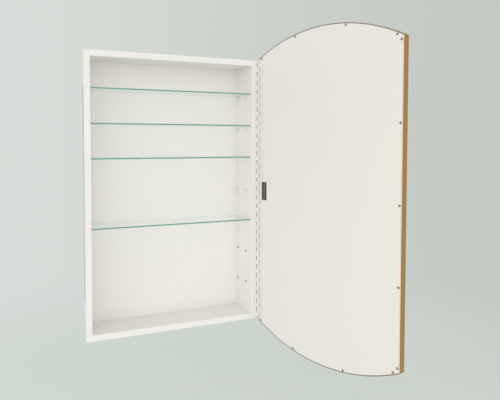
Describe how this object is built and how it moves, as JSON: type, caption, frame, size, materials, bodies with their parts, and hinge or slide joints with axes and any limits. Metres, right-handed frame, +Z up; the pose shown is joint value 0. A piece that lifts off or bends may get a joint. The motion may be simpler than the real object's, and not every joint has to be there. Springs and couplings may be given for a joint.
{
  "type": "medicine cabinet with mirror",
  "caption": "Recessed steel medicine cabinet with glass shelves on clips and a barrel-shaped framed mirror door on a full-height continuous hinge, door standing open.",
  "frame": {"origin": "centre of the back panel's rear face", "axes": "+Z up, +Y into the wall recess, +X to the right as seen from the room; the room is on the -Y side"},
  "size_m": [0.6296, 0.5923, 0.876],
  "materials": {
    "cabinet_paint": "satin white powder coat",
    "channel_primer": "dark grey primer",
    "clip_paint": "satin white enamel",
    "shelf_glass": "clear float glass with polished green edges",
    "hinge_paint": "satin white enamel",
    "hinge_pin_steel": "bright drawn steel",
    "frame_gold": "satin gold anodised, fine brushed",
    "mirror": "silvered float glass with a bevelled edge",
    "hardboard": "plain brown hardboard",
    "door_back_paint": "smooth white enamel",
    "screw_zinc": "zinc plated",
    "dark_plate": "matt charcoal"
  },
  "bodies": {
    "cabinet": {"back_panel": "cabinet_paint", "left_side_panel": "cabinet_paint", "right_side_panel": "cabinet_paint", "top_panel": "cabinet_paint", "bottom_panel": "cabinet_paint", "slot_channel_left_front": "channel_primer", "slot_channel_left_rear": "channel_primer", "slot_channel_right_front": "channel_primer", "slot_channel_right_rear": "channel_primer", "shelf_clip_1_left_front": "clip_paint", "shelf_clip_1_left_rear": "clip_paint", "shelf_clip_1_right_front": "clip_paint", "shelf_clip_1_right_rear": "clip_paint", "shelf_clip_2_left_front": "clip_paint", "shelf_clip_2_left_rear": "clip_paint", "shelf_clip_2_right_front": "clip_paint", "shelf_clip_2_right_rear": "clip_paint", "shelf_clip_3_left_front": "clip_paint", "shelf_clip_3_left_rear": "clip_paint", "shelf_clip_3_right_front": "clip_paint", "shelf_clip_3_right_rear": "clip_paint", "shelf_clip_4_left_front": "clip_paint", "shelf_clip_4_left_rear": "clip_paint", "shelf_clip_4_right_front": "clip_paint", "shelf_clip_4_right_rear": "clip_paint", "spare_clip_left_front": "clip_paint", "spare_clip_left_rear": "clip_paint", "spare_clip_right_front": "clip_paint", "spare_clip_right_rear": "clip_paint", "hinge_fixed_leaf": "hinge_paint", "hinge_pin": "hinge_pin_steel"},
    "door": {"hinge_door_leaf": "hinge_paint", "frame_hinge_stile": "frame_gold", "frame_free_stile": "frame_gold", "frame_upper_arch": "frame_gold", "frame_lower_arch": "frame_gold", "mirror_glass": "mirror", "backing_board": "hardboard", "door_back_sheet": "door_back_paint", "stile_screw_1": "screw_zinc", "stile_screw_2": "screw_zinc", "stile_screw_3": "screw_zinc", "stile_screw_4": "screw_zinc", "stile_screw_5": "screw_zinc", "upper_arch_screw_1": "screw_zinc", "upper_arch_screw_2": "screw_zinc", "upper_arch_screw_3": "screw_zinc", "upper_arch_screw_4": "screw_zinc", "lower_arch_screw_1": "screw_zinc", "lower_arch_screw_2": "screw_zinc", "lower_arch_screw_3": "screw_zinc", "lower_arch_screw_4": "screw_zinc", "blank_plate": "dark_plate"},
    "shelf_1": {"glass_shelf_1": "shelf_glass"},
    "shelf_2": {"glass_shelf_2": "shelf_glass"},
    "shelf_3": {"glass_shelf_3": "shelf_glass"},
    "shelf_4": {"glass_shelf_4": "shelf_glass"}
  },
  "joints": [
    {"name": "door_hinge", "type": "hinge", "parent": "cabinet", "child": "door", "pos_m": [0.24625, -0.11475, 0], "axis": [0, 0, 1], "range_deg": [-104, 0]},
    {"name": "shelf_1_lift", "type": "slide", "parent": "cabinet", "child": "shelf_1", "axis": [0, 0, 1], "range_m": [0, 0.06]},
    {"name": "shelf_2_lift", "type": "slide", "parent": "cabinet", "child": "shelf_2", "axis": [0, 0, 1], "range_m": [0, 0.06]},
    {"name": "shelf_3_lift", "type": "slide", "parent": "cabinet", "child": "shelf_3", "axis": [0, 0, 1], "range_m": [0, 0.06]},
    {"name": "shelf_4_lift", "type": "slide", "parent": "cabinet", "child": "shelf_4", "axis": [0, 0, 1], "range_m": [0, 0.06]}
  ]
}
